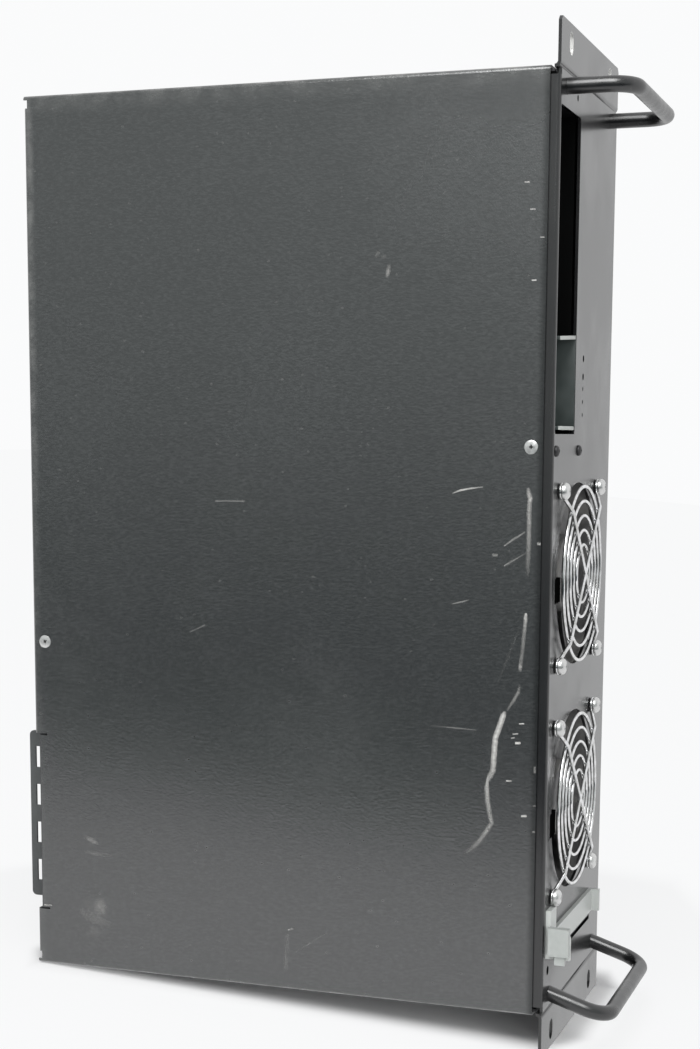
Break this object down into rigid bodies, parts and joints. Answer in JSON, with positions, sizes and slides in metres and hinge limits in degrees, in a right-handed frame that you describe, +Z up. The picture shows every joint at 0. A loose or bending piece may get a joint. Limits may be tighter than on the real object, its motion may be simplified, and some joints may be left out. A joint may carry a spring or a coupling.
{
  "type": "rack mount chassis",
  "caption": "Short three-unit rack-mount computer chassis in black sheet steel with front fans behind wire guards, a drive bay, rod handles and rack ears.",
  "frame": {"origin": "centre of the base's underside", "axes": "+Z up with the case lying on its base, the front panel faces -Y, +X to the right seen from the front"},
  "size_m": [0.4826, 0.3165, 0.1325],
  "materials": {
    "cover_paint": "fine wrinkle black powder coat, scratched",
    "body_paint": "black powder coat",
    "panel_paint": "satin black",
    "bracket_paint": "satin grey",
    "handle_paint": "gloss black",
    "black_screw": "black oxide",
    "silver_screw": "zinc plated",
    "guard_chrome": "bright chrome",
    "fan_plastic": "moulded black",
    "cage_steel": "dull galvanised sheet",
    "latch_metal": "satin light grey",
    "brass": "machined"
  },
  "bodies": {
    "case": {"chassis_tray": "body_paint", "rear_panel": "body_paint", "slot_shelf": "body_paint", "top_cover": "cover_paint", "cover_screws": "silver_screw", "front_panel": "panel_paint", "panel_screws": "black_screw", "left_ear": "panel_paint", "right_ear": "panel_paint", "ear_screws": "black_screw", "left_handle": "handle_paint", "right_handle": "handle_paint", "handle_screws": "black_screw", "left_fan_frame": "fan_plastic", "right_fan_frame": "fan_plastic", "left_fan_guard": "guard_chrome", "right_fan_guard": "guard_chrome", "left_guard_screws": "guard_chrome", "right_guard_screws": "guard_chrome", "drive_cage": "body_paint", "bay_bracket": "cage_steel", "door_bracket": "bracket_paint", "door_latch": "latch_metal", "standoffs": "brass"},
    "left_rotor": {"left_fan_rotor": "fan_plastic"},
    "right_rotor": {"right_fan_rotor": "fan_plastic"}
  },
  "joints": [
    {"name": "left_rotor_spin", "type": "hinge", "parent": "case", "child": "left_rotor", "pos_m": [-0.1237, -0.12, 0.075], "axis": [0, 1, 0], "continuous": true},
    {"name": "right_rotor_spin", "type": "hinge", "parent": "case", "child": "right_rotor", "pos_m": [-0.0114, -0.12, 0.075], "axis": [0, 1, 0], "continuous": true}
  ]
}
